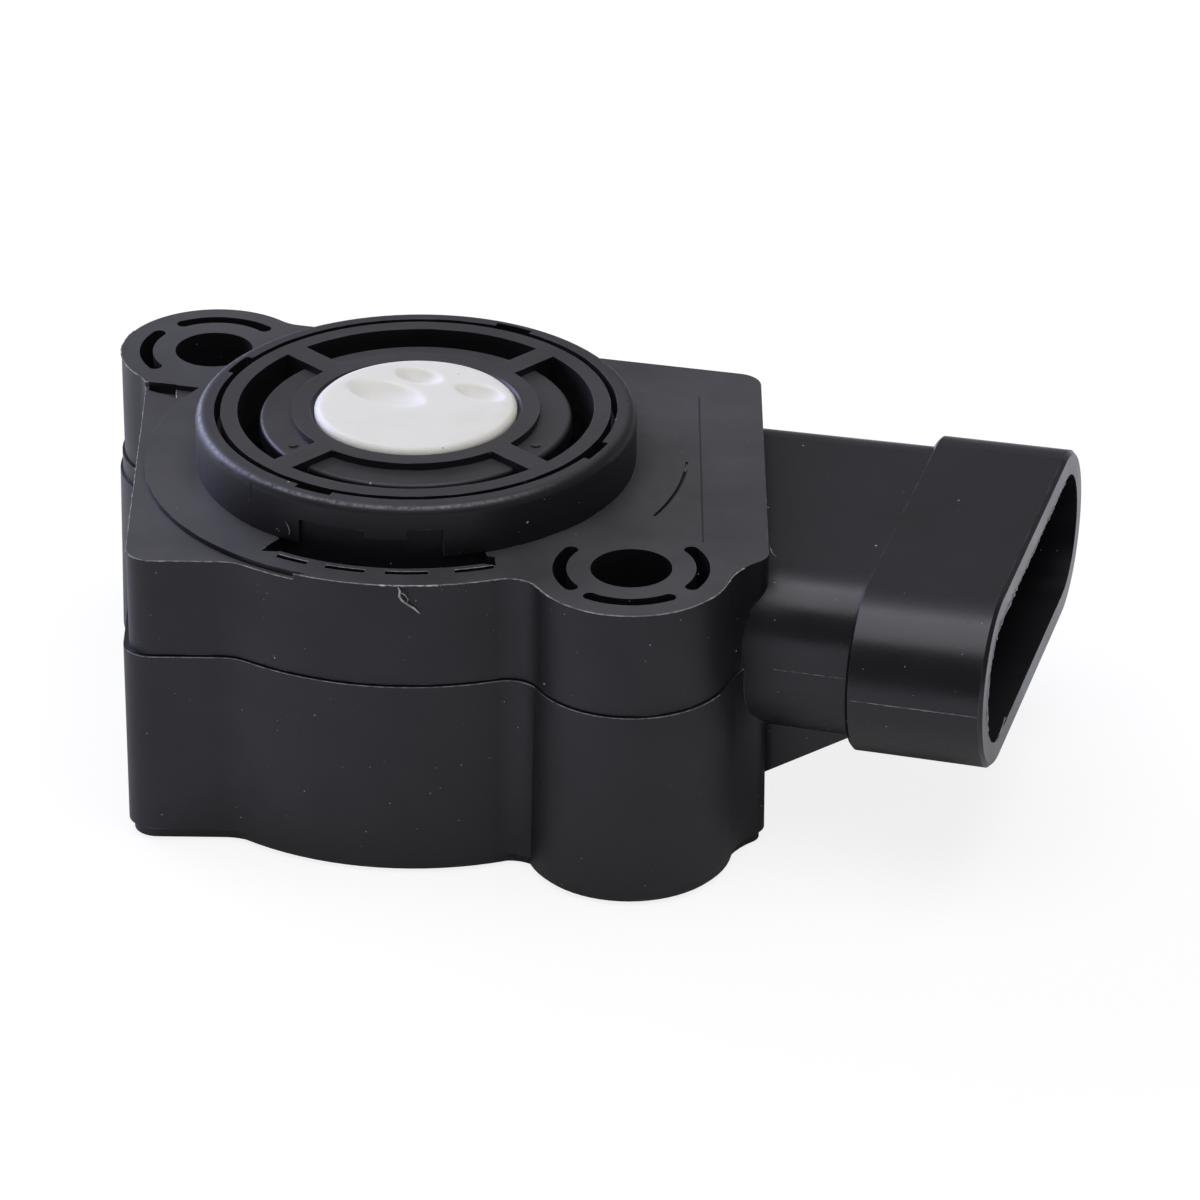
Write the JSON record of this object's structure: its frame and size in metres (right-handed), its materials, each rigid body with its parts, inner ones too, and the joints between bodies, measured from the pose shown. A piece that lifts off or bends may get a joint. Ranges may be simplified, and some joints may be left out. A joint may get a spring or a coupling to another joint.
{
  "type": "throttle position sensor",
  "caption": "Rotary position sensor in a two-shell black plastic body, with a white drive hub in a round pilot boss, diagonal bolting ears and a flat oval plug socket.",
  "frame": {"origin": "on the rotor axis, at the rear face", "axes": "+Z along the rotor axis, out of the drive side; +X to the side with the plug socket, +Y to the slanted back wall"},
  "size_m": [0.077, 0.0536, 0.0291],
  "materials": {
    "black_body": "satin, moulded",
    "black_cap": "satin, moulded",
    "white_rotor": "smooth, off-white",
    "seal": "smooth",
    "spring_wire": "drawn wire and strip",
    "steel": "plated",
    "bronze": "sintered",
    "contact_leaf": "bright strip",
    "tinned_blade": "tinned",
    "board": "laminate",
    "track_ink": "printed film",
    "sealant": "poured resin"
  },
  "bodies": {
    "body": {"housing": "black_body", "cover": "black_body", "retainer_cap": "black_cap", "cap_seal": "seal", "return_spring": "spring_wire", "wave_washer": "spring_wire", "element_board": "board", "resistive_tracks": "track_ink", "board_screws": "steel", "pivot_bush": "bronze", "thrust_washer": "steel", "terminal_sealant": "sealant", "terminal_1": "tinned_blade", "terminal_2": "tinned_blade", "terminal_3": "tinned_blade", "terminal_4": "tinned_blade", "terminal_5": "tinned_blade", "terminal_6": "tinned_blade"},
    "rotor": {"rotor_hub": "white_rotor", "hub_seal": "seal", "wiper_carrier": "black_cap", "signal_wiper": "contact_leaf", "check_wiper": "contact_leaf"}
  },
  "joints": [
    {"name": "rotor_turn", "type": "hinge", "parent": "body", "child": "rotor", "pos_m": [0, 0, 0.02], "axis": [0, 0, 1], "range_deg": [0, 90], "stiffness_Nm_per_rad": 0.01, "springref_deg": -17.19}
  ]
}
